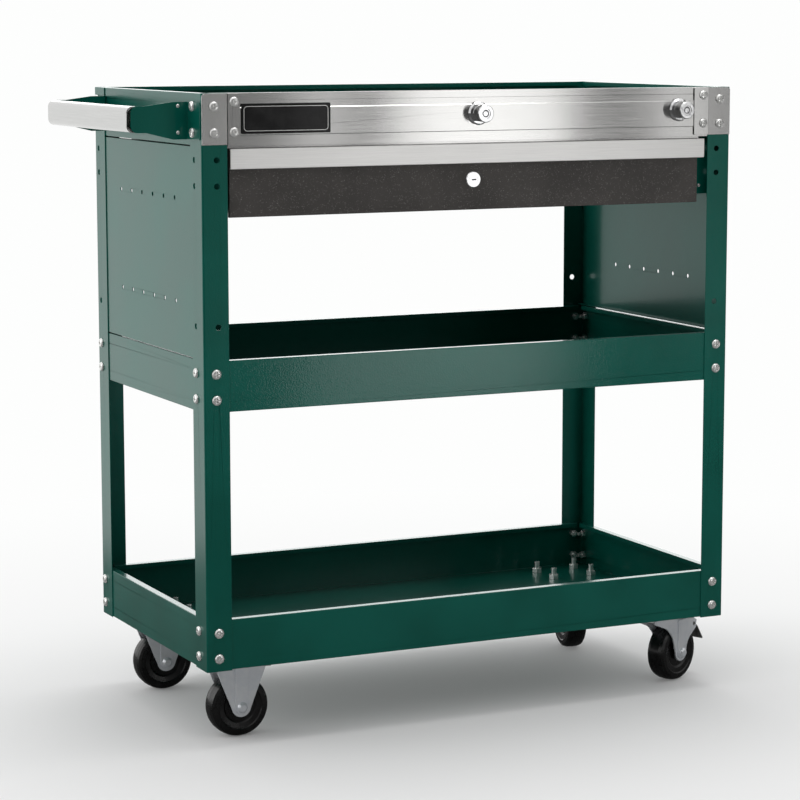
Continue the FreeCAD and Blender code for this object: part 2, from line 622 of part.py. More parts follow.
# ---------------------------------------------------------------- handle
def make_handle_arm(end):
    """A bent arm: a flange screwed to the post's side and a plate that carries the grip."""
    body = make_body(f"handle_arm_{end}")
    sheet_out = f"{ARM_PLATE} + handle_steel"
    pad(body, "XY", ARM_LOW, "arm_tall", rectangle(
        "-handle_steel", deep(end, "arm_edge"), "0", deep(end, sheet_out)))
    cut(body, "YZ", "-2*handle_steel", "3*handle_steel",
        *[circle(deep(end, hole_side(end)), row, "screw_hole") for row in rim_rows(RIMS["top"])])
    round_edges(body, "cap_corner",
                *[edge_at(y=deep(end, "arm_edge"), z=z) for z in (ARM_LOW, ARM_TOP)])
    near = deep(end, ARM_PLATE)
    start = near if end == "front" else f"{near} - handle_steel"
    taper = f"({ARM_NOSE} - handle_reach/4)"
    pad(body, "XZ", start, "handle_steel", outline(
        ("0", ARM_LOW), ("0", ARM_TOP), ("-handle_reach/4", ARM_TOP),
        (f"-{taper}", NOSE_TOP), (f"-{ARM_NOSE}", NOSE_TOP), (f"-{ARM_NOSE}", NOSE_LOW),
        (f"-{taper}", NOSE_LOW), ("-handle_reach/4", ARM_LOW)))
    round_edges(body, "arm_corner",
                *[edge_at(x=f"-{ARM_NOSE}", z=z) for z in (NOSE_LOW, NOSE_TOP)])


def make_grip():
    """The hollow stainless bar between the arms."""
    body = make_body("handle_grip")
    start = f"{ARM_PLATE} + handle_steel"
    length = f"cart_depth - 2*({start})"
    low = f"({NOSE_LOW} + {NOSE_TOP} - grip_tall)/2"
    high = f"({NOSE_LOW} + {NOSE_TOP} + grip_tall)/2"
    outer = ("-handle_reach", low, "(grip_deep - handle_reach)", high)
    pad(body, "XZ", start, length, rectangle(*outer))
    round_edges(body, "grip_round", *[edge_at(x=x, z=z) for x in outer[::2] for z in outer[1::2]])
    inner = ("grip_wall - handle_reach", f"{low} + grip_wall",
             "(grip_deep - handle_reach - grip_wall)", f"{high} - grip_wall")
    cut(body, "XZ", f"{start} - grip_wall", f"{length} + 2*grip_wall",
        chamfered(*inner, "grip_round*2/3"))


def make_rivets():
    """Domed rivets that tie each arm's plate to the tray's corner."""
    rivet = make_template("arm_rivet")
    revolve(rivet, "XZ", "0", ("0", "0"), "V", (
        ("0", "0"), ("rivet_dia/2", "0"), ("rivet_dia/3", "rivet_height*2/3"), ("0", "rivet_height")))
    placements = []
    for end, towards in (("front", -1), ("rear", 1)):
        for row in rim_rows(RIMS["top"]):
            turned = FreeCAD.Rotation(FreeCAD.Vector(0, 0, 1), FreeCAD.Vector(0, towards, 0))
            place = spot(CORNER, "-rivet_in", deep(end, ARM_PLATE), row)
            placements.append(FreeCAD.Placement(place, turned))
    make_group("handle_rivets", rivet, placements)


# ---------------------------------------------------------------- screws and nuts
def make_screw_template(label, size, recess_scale):
    """A pan head with a cross recess on a plain shank, along z with its head on top."""
    screw = make_template(label)
    head = f"{size['head']}/2"
    tall = size["height"]
    revolve(screw, "XZ", "0", ("0", "0"), "V", (
        ("0", f"-{size['length']}"), (f"{size['dia']}/2", f"-{size['length']}"),
        (f"{size['dia']}/2", "0"), (head, "0"), (head, f"{tall}*0.35"),
        (f"{head}*0.86", f"{tall}*0.75"), (f"{head}*0.6", f"{tall}*0.95"), ("0", tall)))
    deep_to = f"{tall} - recess_deep*{recess_scale}"
    arm = f"recess_long*{recess_scale}/2"
    half = f"recess_wide*{recess_scale}/2"
    for x, y in ((arm, half), (half, arm)):
        cut(screw, "XY", deep_to, tall, rectangle(f"-{x}", f"-{y}", x, y))
    return screw


def outward(point, direction):
    """A placement whose z axis leaves the surface along the direction."""
    return FreeCAD.Placement(point, FreeCAD.Rotation(FreeCAD.Vector(0, 0, 1), FreeCAD.Vector(*direction)))


def frame_joints():
    """Every screwed joint of posts and trays: place, direction, and what lies on the post."""
    for name, rim in RIMS.items():
        for side in SIDES:
            for end in ENDS:
                cover = "cap_steel" if name == "top" and end == "front" else "0"
                arm = "handle_steel" if name == "top" and side == "left" else "0"
                for row in rim_rows(rim):
                    towards = -1 if end == "front" else 1
                    yield (across(side, "hole_edge"), deep(end, f"-({cover})"), row,
                           (0, towards, 0), cover)
                    towards = -1 if side == "left" else 1
                    yield (across(side, f"-({arm})"), deep(end, hole_side(end)), row,
                           (towards, 0, 0), arm)


def make_fasteners():
    """The posts' screws and nuts, and the small screws of the fascia brackets."""
    big = {"head": "head_dia", "height": "head_height", "dia": "screw_dia", "length": "screw_length"}
    small = {"head": "clip_head_dia", "height": "clip_head_height", "dia": "clip_screw_dia",
             "length": "clip_screw_length"}
    screw = make_screw_template("frame_screw", big, 1)
    nut = make_template("frame_nut")
    pad(nut, "XY", "-nut_thick", "nut_thick",
        hexagon("0", "0", "nut_across"), circle("0", "0", "screw_dia + 2*thread_gap"))
    screws = []
    nuts = []
    for x, y, z, direction, cover in frame_joints():
        point = spot(CORNER, x, y, z)
        screws.append(outward(point, direction))
        inwards = FreeCAD.Vector(*direction) * value(f"2*steel + {cover}")
        nuts.append(outward(point - inwards, direction))
    make_group("frame_screws", screw, screws)
    make_group("frame_nuts", nut, nuts)
    clip_screw = make_screw_template("clip_screw", small, 0.7)
    make_group("fascia_screws", clip_screw, [
        outward(spot(CORNER, clip_x(side), f"{BAND_Y} - clip_steel", row), (0, -1, 0))
        for side in SIDES for row in CLIP_ROWS])


# ---------------------------------------------------------------- casters
AXLE_Z = f"(wheel_dia/2 - {CASTER_HEIGHT})"
FORK_OUT = f"({FORK_INNER} + fork_steel)"
PLATE_HALF_LONG = "(bolt_long/2 + plate_margin_long)"
PLATE_HALF_WIDE = "(bolt_wide/2 + plate_margin_wide)"


def caster_base(side, end):
    """The middle of a caster's mounting face, in the cart's frame."""
    return (f"{CORNER[0]} + {across(side, 'caster_inset')}",
            f"{CORNER[1]} + {deep(end, f'caster_{end}')}", CASTER_HEIGHT)


def mounting_plate(body):
    """A caster's top plate with its four bolt holes."""
    pad(body, "XY", "-plate_thick", "plate_thick",
        rectangle(f"-{PLATE_HALF_LONG}", f"-{PLATE_HALF_WIDE}", PLATE_HALF_LONG, PLATE_HALF_WIDE))
    cut(body, "XY", "-2*plate_thick", "3*plate_thick", *[
        circle(f"{x}*bolt_long/2", f"{y}*bolt_wide/2", "bolt_hole") for x in (-1, 1) for y in (-1, 1)])
    round_edges(body, "plate_corner", *[
        edge_at(x=f"{x}*{PLATE_HALF_LONG}", y=f"{y}*{PLATE_HALF_WIDE}")
        for x in (-1, 1) for y in (-1, 1)])


def fork_leg(body, facing, axle_x, nose, shape, rib_top):
    """One leg of a fork with a raised rib down its middle, on the -y or +y side."""
    inner = FORK_INNER if facing > 0 else f"-{FORK_OUT}"
    rib = FORK_OUT if facing > 0 else f"-{FORK_OUT} - rib_rise"
    pad(body, "XZ", inner, "fork_steel", outline(*shape))
    pad(body, "XZ", inner, "fork_steel", circle(axle_x, AXLE_Z, f"2*{nose}"))
    pad(body, "XZ", rib, "rib_rise", circle(axle_x, AXLE_Z, "2*rib_half"))
    pad(body, "XZ", rib, "rib_rise",
        rectangle(f"{axle_x} - rib_half", AXLE_Z, f"{axle_x} + rib_half", rib_top))


def axle_bore(body, axle_x):
    cut(body, "XZ", f"-2*{FORK_OUT}", f"4*{FORK_OUT}", circle(axle_x, AXLE_Z, "axle_hole"))


def make_rigid_fork(end):
    """A fixed caster's pressed fork: a plate and two tapering legs."""
    body = make_body(f"rigid_fork_{end}", base=caster_base("left", end))
    mounting_plate(body)
    skirt = "-plate_thick - fork_skirt"
    leg = (("-fork_half", "-plate_thick"), ("fork_half", "-plate_thick"), ("fork_half", skirt),
           ("fork_nose*0.9", f"{AXLE_Z} - fork_nose*0.4"), ("-fork_nose*0.9", f"{AXLE_Z} - fork_nose*0.4"),
           ("-fork_half", skirt))
    for facing in (-1, 1):
        fork_leg(body, facing, "0", "fork_nose", leg, "-plate_thick - rib_top")
    axle_bore(body, "0")


def make_swivel_plate(end):
    """A swivel caster's top plate with its ball race and the kingpin it is riveted to."""
    body = make_body(f"swivel_plate_{end}", base=caster_base("right", end))
    mounting_plate(body)
    race = "-plate_thick - race_deep"
    crown_low = f"{race} - race_gap - fork_steel - crown_gap"
    revolve(body, "XZ", "0", ("0", "0"), "V", (
        ("0", "-plate_thick/2"), ("race_dia/2 + race_deep/2", "-plate_thick/2"),
        ("race_dia/2 + race_deep/2", "-plate_thick"), ("race_dia/2", race), ("kingpin_dia/2", race),
        ("kingpin_dia/2", crown_low), ("kingpin_head/2", crown_low),
        ("kingpin_head/2", f"{crown_low} - kingpin_head_thick/2"),
        ("kingpin_head/3", f"{crown_low} - kingpin_head_thick"),
        ("0", f"{crown_low} - kingpin_head_thick")))


def make_swivel_fork(end):
    """A swivel caster's yoke: a crown under the ball race, and legs that trail behind it."""
    body = make_body(f"swivel_fork_{end}", base=caster_base("right", end), yaw=f"{end}_yaw")
    top = "(-plate_thick - race_deep - race_gap)"
    pad(body, "XY", f"{top} - fork_steel", "fork_steel",
        rectangle("-crown_back", f"-{FORK_OUT}", "crown_front", FORK_OUT))
    low = f"{AXLE_Z} - swivel_nose*0.3"
    waist = ("trail + swivel_nose*1.1", f"{AXLE_Z} + swivel_nose*1.2")
    shin = ("trail - swivel_nose*1.6", f"{AXLE_Z} + swivel_nose*2")
    knee = ("trail - swivel_nose*2.6", f"{AXLE_Z} + swivel_nose*3.1")
    leg = (("-crown_back", top), ("crown_front", top),
           (f"{BRAKE_X} + brake_hub*0.7", f"{BRAKE_Z} + brake_hub*0.5"),
           (f"{BRAKE_X} + brake_hub*0.5", f"{BRAKE_Z} - brake_hub*0.7"),
           waist, ("trail + swivel_nose*0.95", low), ("trail - swivel_nose*0.95", low),
           shin, knee, ("-crown_back", f"{top} - fork_steel - rib_rise"))
    for facing in (-1, 1):
        fork_leg(body, facing, "trail", "swivel_nose", leg, f"{top} - rib_top")
    round_edges(body, "flank_round", *[edge_at(x=x, z=z) for x, z in (waist, shin, knee)])
    axle_bore(body, "trail")
    cut(body, "XZ", f"-2*{FORK_OUT}", f"4*{FORK_OUT}",
        circle(BRAKE_X, BRAKE_Z, "brake_pin + 2*axle_gap"))
    cut(body, "XY", f"{top} - 2*fork_steel", "3*fork_steel", circle("0", "0", "kingpin_dia + 2*axle_gap"))


def make_brake_lever(end):
    """The foot lever over the wheel: its hub turns in the fork, its shoe nears the tread."""
    body = make_body(f"brake_lever_{end}", base=caster_base("right", end), yaw=f"{end}_yaw")
    inner = f"({FORK_INNER} - brake_play)"
    pin = f"({FORK_OUT} + brake_play)"
    pad(body, "XZ", f"-{inner}", f"2*{inner}", circle(BRAKE_X, BRAKE_Z, "brake_hub"))
    pad(body, "XZ", f"-{pin}", f"2*{pin}", circle(BRAKE_X, BRAKE_Z, "brake_pin"))
    out = f"{BRAKE_X} + brake_tab"
    drop = f"{BRAKE_Z} - brake_tab_drop"
    crest = f"{BRAKE_Z} + brake_hub/2"
    bend = f"{BRAKE_X} + brake_tab/2"
    bend_z = f"{BRAKE_Z} - brake_tab_drop/4"
    pad(body, "XZ", f"-{inner}", f"2*{inner}", outline(
        (BRAKE_X, crest), (bend, bend_z), (out, drop),
        (f"{out} - brake_steel", f"{drop} - brake_steel/2"),
        (f"{bend} - brake_steel/2", f"{bend_z} - brake_steel"), (BRAKE_X, f"{crest} - brake_steel")))
    pad(body, "XZ", "-tread/3", "tread*2/3", outline(
        (f"{BRAKE_X} - brake_hub/2", BRAKE_Z), (f"{BRAKE_X} + brake_hub/2", BRAKE_Z),
        (f"{BRAKE_X} + brake_steel/2", f"{BRAKE_Z} - brake_hub*0.72"),
        (f"{BRAKE_X} - brake_steel/2", f"{BRAKE_Z} - brake_hub*0.7")))


def make_wheel(name, base, yaw, axle_x):
    """A moulded wheel with a rounded tread, a dished web and a hub boss."""
    body = make_body(f"wheel_{name}", base=base, yaw=yaw)
    half = "tread/2"
    rim = "wheel_dia/2"
    boss = f"({FORK_INNER} - hub_gap)"
    bore = "axle_dia/2 + axle_gap"

    def face(sign):
        """One side's profile from the bore out to the tread."""
        return ((bore, f"{sign}*{boss}"), ("axle_dia", f"{sign}*{boss}"),
                ("axle_dia*1.15", f"{sign}*{half}*0.8"), (f"{rim}*0.5", f"{sign}*{half}*0.72"),
                (f"{rim}*0.56", f"{sign}*{half}*0.86"), (f"{rim}*0.72", f"{sign}*{half}*0.92"),
                (f"{rim}*0.75", f"{sign}*{half}"), (f"{rim}*0.88", f"{sign}*{half}*0.97"),
                (f"{rim}*0.955", f"{sign}*{half}*0.82"), (f"{rim}*0.99", f"{sign}*{half}*0.5"))
    revolve(body, "XY", AXLE_Z, (axle_x, "0"), "V",
            (*face("-1"), (rim, "0"), *reversed(face("1"))))


def make_axles():
    """Axle bolts with a domed head in front and a nut behind, one node for each moving fork."""
    axle = make_template("axle_bolt")
    seat = f"({FORK_OUT} + rib_rise)"
    tail = f"{seat} + bolt_nut"
    revolve(axle, "XY", "0", ("0", "0"), "V", (
        ("0", f"-{seat} - axle_head"), ("axle_head_dia*0.3", f"-{seat} - axle_head"),
        ("axle_head_dia/2", f"-{seat} - axle_head*0.3"), ("axle_head_dia/2", f"-{seat}"),
        ("axle_dia/2", f"-{seat}"), ("axle_dia/2", f"{tail}"), ("0", f"{tail}")))
    doc.recompute()
    nut = make_template("axle_nut")
    pad(nut, "XZ", seat, "bolt_nut - axle_dia/8",
        hexagon("0", "0", "bolt_across"), circle("0", "0", "axle_dia + 2*thread_gap"))
    doc.recompute()
    pair = doc.addObject("Part::Compound", "axle_set")
    pair.Links = [axle, nut]

    def placed(side, end, ahead, yaw):
        turned = FreeCAD.Rotation(FreeCAD.Vector(0, 0, 1), value(yaw))
        middle = turned.multVec(FreeCAD.Vector(value(ahead), 0, value(AXLE_Z)))
        return FreeCAD.Placement(spot(caster_base(side, end), "0", "0", "0") + middle, turned)
    make_group("rigid_axles", pair, [placed("left", end, "0", "0") for end in ENDS])
    for end in ENDS:
        make_group(f"swivel_axle_{end}", pair, [placed("right", end, "trail", f"{end}_yaw")])


def make_caster_bolts():
    """The bolts that hold the casters' plates, head below and nut on the tray's floor."""
    bolt = make_template("caster_bolt")
    pad(bolt, "XY", "-plate_thick - bolt_head", "bolt_head", hexagon("0", "0", "bolt_across"))
    pad(bolt, "XY", "-plate_thick", "plate_thick + bolt_above", circle("0", "0", "bolt_dia"))
    nut = make_template("caster_nut")
    pad(nut, "XY", "steel", "bolt_nut",
        hexagon("0", "0", "bolt_across"), circle("0", "0", "bolt_dia + 2*thread_gap"))
    places = [FreeCAD.Placement(spot(caster_base(side, end), f"{x}*bolt_long/2", f"{y}*bolt_wide/2", "0"),
                                FreeCAD.Rotation())
              for side in SIDES for end in ENDS for x in (-1, 1) for y in (-1, 1)]
    make_group("caster_bolts", bolt, places)
    make_group("caster_nuts", nut, places)


# ---------------------------------------------------------------- the cart
def make_frame():
    for end in ENDS:
        for side in SIDES:
            make_post(end, side)
    trays = {name: make_tray(name, rim) for name, rim in RIMS.items()}
    cut(trays["bottom"], "XY", "tray_lift - steel", "3*steel", *[
        circle(f"{across(side, 'caster_inset')} + {x}*bolt_long/2",
               f"{deep(end, f'caster_{end}')} + {y}*bolt_wide/2", "bolt_hole")
        for side in SIDES for end in ENDS for x in (-1, 1) for y in (-1, 1)])
    cut(trays["top"], "XZ", "0", "2*steel + rim_notch",
        *[circle(clip_x(side), row, "clip_screw_hole") for side in SIDES for row in CLIP_ROWS],
        *[circle(x, LOCK_Z, "thread_hole") for x in LOCKS.values()])
    for side in SIDES:
        make_side_panel(side)


def make_front():
    make_fascia()
    for side in SIDES:
        make_clip(side)
        make_cap(side)
    make_label_plate()
    for name, x in LOCKS.items():
        make_lock_body(name, x)
        make_lock_core(name, x)
        make_lock_cam(name, x)
    make_lock_nuts()


def make_drawer():
    make_drawer_front()
    make_drawer_pull()
    make_drawer_box()
    make_latch()
    for side in SIDES:
        make_slide_bracket(side)
        make_slide(side)


def make_handle():
    for end in ENDS:
        make_handle_arm(end)
    make_grip()
    make_rivets()


def make_casters():
    for end in ENDS:
        make_rigid_fork(end)
        make_wheel(f"{end}_left", caster_base("left", end), None, "0")
        make_swivel_plate(end)
        make_swivel_fork(end)
        make_brake_lever(end)
        make_wheel(f"{end}_right", caster_base("right", end), f"{end}_yaw", "trail")
    make_axles()
    make_caster_bolts()


def check_document():
    """Stop on any object that failed and on any empty or broken shape."""
    doc.recompute()
    for thing in doc.Objects:
        if "Invalid" in thing.State or "Error" in thing.State:
            raise RuntimeError(f"{thing.Label} failed: {thing.State}")
    for node in nodes:
        if node.Shape.isNull() or not node.Shape.isValid() or not node.Shape.Solids:
            raise RuntimeError(f"{node.Label} has no valid solid")


make_frame()
make_front()
make_drawer()
make_handle()
make_fasteners()
make_casters()
check_document()
os.makedirs("parts", exist_ok=True)
for node in nodes:
    node.Shape.exportStep(f"parts/{node.Label}.step")
print(len(nodes), "sub-parts written")
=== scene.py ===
"""The tool cart's looks: its finishes, its small trim, a pale studio and the camera.

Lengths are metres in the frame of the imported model: x along the front, y towards the back,
z up, with the floor at z = 0.
"""
import json
import math

import bmesh
import bpy
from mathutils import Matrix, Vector


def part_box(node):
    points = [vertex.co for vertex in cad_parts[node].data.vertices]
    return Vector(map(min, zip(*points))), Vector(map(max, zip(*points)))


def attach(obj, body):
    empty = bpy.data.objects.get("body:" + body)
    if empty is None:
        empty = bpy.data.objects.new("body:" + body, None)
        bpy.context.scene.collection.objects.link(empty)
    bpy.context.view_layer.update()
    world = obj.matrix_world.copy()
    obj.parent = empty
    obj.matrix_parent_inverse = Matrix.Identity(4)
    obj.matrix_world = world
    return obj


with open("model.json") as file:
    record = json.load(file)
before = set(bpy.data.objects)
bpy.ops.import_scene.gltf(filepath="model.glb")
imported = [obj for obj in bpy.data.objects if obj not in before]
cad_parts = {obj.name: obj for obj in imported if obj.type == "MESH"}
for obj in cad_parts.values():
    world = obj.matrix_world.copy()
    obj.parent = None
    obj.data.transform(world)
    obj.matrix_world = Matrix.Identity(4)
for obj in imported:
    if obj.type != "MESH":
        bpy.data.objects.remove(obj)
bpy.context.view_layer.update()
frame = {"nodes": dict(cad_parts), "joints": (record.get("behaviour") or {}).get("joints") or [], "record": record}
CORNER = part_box("post_front_left")[0]     # the frame's front, left and lowest corner
SHEET = 0.0012                            # the frame's and the drawer's sheet steel


# ---------------------------------------------------------------- node helpers
class Graph:
    """A short way to write one material's or the world's nodes."""

    def __init__(self, owner):
        owner.use_nodes = True
        self.tree = owner.node_tree
        self.tree.nodes.clear()

    def add(self, kind, inputs=(), **settings):
        """A node of a kind, with inputs given by name or number: values or other sockets."""
        made = self.tree.nodes.new(kind)
        for name, setting in settings.items():
            setattr(made, name, setting)
        for name, given in dict(inputs).items():
            self.put(given, made.inputs[name])
        return made

    def put(self, given, socket):
        """Link a socket to a socket, or set a plain value on it."""
        if isinstance(given, bpy.types.NodeSocket):
            self.tree.links.new(given, socket)
        else:
            socket.default_value = given

    def math(self, operation, *terms):
        return self.add("ShaderNodeMath", enumerate(terms), operation=operation).outputs[0]

    def vector_math(self, operation, *terms, out=0):
        return self.add("ShaderNodeVectorMath", enumerate(terms), operation=operation).outputs[out]

    def ramp(self, factor, low, high, start=0.0, end=1.0):
        """The factor's range from low to high, spread smoothly over start to end."""
        return self.add("ShaderNodeMapRange", {"Value": factor, "From Min": low, "From Max": high,
                                               "To Min": start, "To Max": end},
                        interpolation_type="SMOOTHSTEP").outputs["Result"]

    def mix(self, factor, first, second):
        return self.add("ShaderNodeMix", {0: factor, 6: first, 7: second},
                        data_type="RGBA").outputs[2]

    def object_point(self, stretch=(1, 1, 1)):
        """The shaded point in the object's own metres, scaled along each axis."""
        point = self.add("ShaderNodeTexCoord").outputs["Object"]
        return self.vector_math("MULTIPLY", point, stretch)

    def noise(self, point, scale, detail=2.0, roughness=0.5):
        return self.add("ShaderNodeTexNoise", {"Vector": point, "Scale": scale, "Detail": detail,
                                               "Roughness": roughness}).outputs[0]

    def bump(self, height, distance):
        """A normal bent by a height, whose full range stands for a distance in metres."""
        return self.add("ShaderNodeBump", {"Height": height, "Distance": distance,
                                           "Strength": 1.0}).outputs[0]


def grey(level):
    return (level, level, level, 1.0)


def finish_material(graph, **inputs):
    """Close a material's graph with a Principled shader; names are written with underscores."""
    named = {name.replace("_", " "): given for name, given in inputs.items()}
    shader = graph.add("ShaderNodeBsdfPrincipled", named)
    output = graph.add("ShaderNodeOutputMaterial")
    graph.put(shader.outputs[0], output.inputs["Surface"])


def new_material(name):
    material = bpy.data.materials.new(name)
    return material, Graph(material)


# ---------------------------------------------------------------- finishes
# Noise scales are features per metre, and bump heights are metres.
ENAMEL_SHEEN = (0.25, 1.0, 0.85, 1.0)


def glossy_enamel(name, deep, light):
    """Stoved enamel: a clear coat over deep colour, with a faint orange peel."""
    cloud_scale = 9.0
    peel_scale = 520.0
    peel_height = 0.00009
    dust_scale = 1400.0
    material, graph = new_material(name)
    point = graph.object_point()
    clouds = graph.noise(point, cloud_scale, 3.0)
    peel = graph.bump(graph.noise(point, peel_scale, 1.0), peel_height)
    dust = graph.ramp(graph.noise(point, dust_scale, 1.0), 0.76, 0.80, 0.0, 0.03)
    colour = graph.mix(graph.ramp(clouds, 0.3, 0.7), deep, light)
    finish_material(
        graph, Base_Color=graph.mix(dust, colour, grey(0.35)),
        Roughness=graph.ramp(clouds, 0.3, 0.7, 0.30, 0.34),
        Specular_IOR_Level=0.35, Specular_Tint=ENAMEL_SHEEN, Coat_Weight=0.45, Coat_Roughness=0.07,
        Normal=peel, Coat_Normal=peel)
    return material


def brushed_metal(name, colour, along, roughness, anisotropy, grain=1.0, metallic=1.0):
    """Metal brushed in one direction: long fine scratches and a stretched highlight."""
    drawn_out = 0.012                     # the scratches' share of their frequency along the brushing
    fine_scale = 2600.0
    broad_scale = 700.0
    fine_share = 0.6
    smudge_scale = 8.0
    scratch_height = 0.0000025 * grain
    material, graph = new_material(name)
    point = graph.object_point(tuple(drawn_out if axis == along else 1.0 for axis in "xyz"))
    fine = graph.noise(point, fine_scale, 2.0, 0.7)
    broad = graph.noise(point, broad_scale, 3.0, 0.6)
    smudge = graph.noise(graph.object_point(), smudge_scale, 3.0)
    lines = graph.math("ADD", graph.math("MULTIPLY", fine, fine_share),
                       graph.math("MULTIPLY", broad, 1 - fine_share))
    direction = tuple(1.0 if axis == along else 0.0 for axis in "xyz")
    facing = graph.add("ShaderNodeNewGeometry").outputs["Normal"]
    across = graph.vector_math("CROSS_PRODUCT", facing, direction)
    darker = tuple(0.92 * part for part in colour[:3]) + (1.0,)
    finish_material(
        graph, Base_Color=graph.mix(graph.ramp(lines, 0.35, 0.65), darker, colour), Metallic=metallic,
        Roughness=graph.math("ADD", graph.ramp(smudge, 0.3, 0.7, roughness - 0.01, roughness + 0.02),
                             graph.ramp(lines, 0.3, 0.7, -0.02, 0.02)),
        Anisotropic=anisotropy, Tangent=across,
        Normal=graph.bump(lines, scratch_height))
    return material


def plated_metal(name, bright, dull, roughness, cloud_scale, metallic=1.0):
    """Zinc or nickel plate: small cloudy patches and a slightly uneven surface."""
    pit_scale = 1900.0
    wave_scale = 240.0
    uneven_height = 0.000012
    material, graph = new_material(name)
    point = graph.object_point()
    clouds = graph.noise(point, cloud_scale, 4.0, 0.6)
    uneven = graph.math("ADD", graph.noise(point, pit_scale, 2.0), graph.noise(point, wave_scale, 1.0))
    finish_material(
        graph, Base_Color=graph.mix(graph.ramp(clouds, 0.35, 0.65), dull, bright), Metallic=metallic,
        Roughness=graph.ramp(clouds, 0.3, 0.7, roughness + 0.06, roughness - 0.04),
        Normal=graph.bump(uneven, uneven_height))
    return material


def textured_coat(name, base, fleck):
    """Fine textured powder coat: a dense grain with a few lighter flecks."""
    grain_scale = 1150.0
    grain_height = 0.0004
    fleck_scale = 620.0
    fleck_patch_scale = 330.0
    shade_scale = 16.0
    material, graph = new_material(name)
    point = graph.object_point()
    grain = graph.noise(point, grain_scale, 3.0, 0.6)
    cells = graph.add("ShaderNodeTexVoronoi", {"Vector": point, "Scale": fleck_scale})
    patches = graph.noise(point, fleck_patch_scale, 2.0)
    flecks = graph.math("MULTIPLY", graph.ramp(cells.outputs["Distance"], 0.30, 0.08),
                        graph.ramp(patches, 0.45, 0.60))
    lighter = tuple(1.35 * part for part in base[:3]) + (1.0,)
    shade = graph.mix(graph.ramp(graph.noise(point, shade_scale, 4.0), 0.3, 0.7), base, lighter)
    finish_material(
        graph, Base_Color=graph.mix(flecks, shade, fleck),
        Roughness=graph.ramp(grain, 0.35, 0.65, 0.38, 0.58), Specular_IOR_Level=0.5,
        Normal=graph.bump(grain, grain_height))
    return material


def moulded_black(name, roughness, peel_height):
    """Hard black moulding with a soft gloss."""
    scuff_scale = 60.0
    peel_scale = 800.0
    material, graph = new_material(name)
    point = graph.object_point()
    scuffs = graph.noise(point, scuff_scale, 5.0, 0.65)
    finish_material(
        graph, Base_Color=graph.mix(graph.ramp(scuffs, 0.45, 0.75), grey(0.003), grey(0.007)),
        Roughness=graph.ramp(scuffs, 0.35, 0.7, roughness, roughness + 0.14),
        Specular_IOR_Level=0.35, Coat_Weight=0.25, Coat_Roughness=0.06,
        Normal=graph.bump(graph.noise(point, peel_scale, 2.0), peel_height))
    return material


GREEN = glossy_enamel("green_enamel", (0.0003, 0.064, 0.046, 1), (0.0006, 0.082, 0.060, 1))
STAINLESS_X = brushed_metal("stainless_along_x", (0.74, 0.735, 0.72, 1), "x", 0.15, 0.70)
STAINLESS_Y = brushed_metal("stainless_along_y", (0.62, 0.62, 0.61, 1), "y", 0.20, 0.62)
STAINLESS_Z = brushed_metal("stainless_along_z", (0.72, 0.715, 0.70, 1), "z", 0.19, 0.55)
ALUMINIUM = brushed_metal("satin_aluminium", (0.92, 0.91, 0.89, 1), "x", 0.36, 0.45, 0.5, 0.5)
ZINC = plated_metal("bright_zinc", (0.86, 0.88, 0.91, 1), (0.78, 0.81, 0.85, 1), 0.20, 60.0, 0.58)
BRAKE = plated_metal("dull_zinc", (0.36, 0.36, 0.34, 1), (0.20, 0.20, 0.19, 1), 0.42, 90.0)
NICKEL = plated_metal("nickel_screws", (0.92, 0.92, 0.90, 1), (0.80, 0.80, 0.78, 1), 0.15, 300.0, 0.72)
CHROME = plated_metal("chrome", (0.88, 0.88, 0.88, 1), (0.78, 0.78, 0.79, 1), 0.08, 200.0)
BLACK_COAT = textured_coat("black_textured_coat", (0.040, 0.036, 0.033, 1), (0.34, 0.33, 0.31, 1))
WHEEL_BLACK = moulded_black("wheel_black", 0.24, 0.00002)
GLOSS_BLACK = moulded_black("gloss_black", 0.10, 0.000004)

FINISH_OF_SLOT = {
    "green_paint": GREEN, "stainless": STAINLESS_X, "black_plate": GLOSS_BLACK, "chrome": CHROME,
    "zinc_steel": ZINC, "brake_steel": BRAKE, "black_paint": BLACK_COAT,
    "satin_aluminium": ALUMINIUM, "black_rubber": WHEEL_BLACK,
}
FINISH_OF_NODE = {
    "handle_grip": STAINLESS_Y, "corner_plate_left": STAINLESS_Z, "corner_plate_right": STAINLESS_Z,
    "frame_screws": NICKEL, "fascia_screws": NICKEL, "frame_nuts": NICKEL, "handle_rivets": NICKEL,
    "caster_bolts": NICKEL, "caster_nuts": NICKEL, "lock_nuts": NICKEL,
}
EDGE_OF_SLOT = {
    "green_paint": 0.00030, "stainless": 0.00020, "black_plate": 0.00030, "zinc_steel": 0.00030,
    "brake_steel": 0.00030, "black_paint": 0.00035, "satin_aluminium": 0.00030,
}


def soften_edges(piece, width):
    """Break the sharp edges of a pressed or machined piece by a small round."""
    weld = piece.modifiers.new("weld", "WELD")
    weld.merge_threshold = 0.000005
    bevel = piece.modifiers.new("edges", "BEVEL")
    bevel.width = width
    bevel.segments = 2
    bevel.limit_method = "ANGLE"
    bevel.angle_limit = math.radians(50)
    bevel.use_clamp_overlap = False
    flats = piece.modifiers.new("flats", "WEIGHTED_NORMAL")
    flats.weight = 100                    # the large flat faces keep their shading
    flats.keep_sharp = True


def dress_nodes():
    """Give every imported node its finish, and break the edges of the sheet parts."""
    for part in frame["record"]["subparts"]:
        name = part["node"]
        slot_name = part["material_slot"]
        piece = frame["nodes"][name]
        piece.data.materials.clear()
        piece.data.materials.append(FINISH_OF_NODE.get(name, FINISH_OF_SLOT[slot_name]))
        if slot_name in EDGE_OF_SLOT:
            soften_edges(piece, EDGE_OF_SLOT[slot_name])


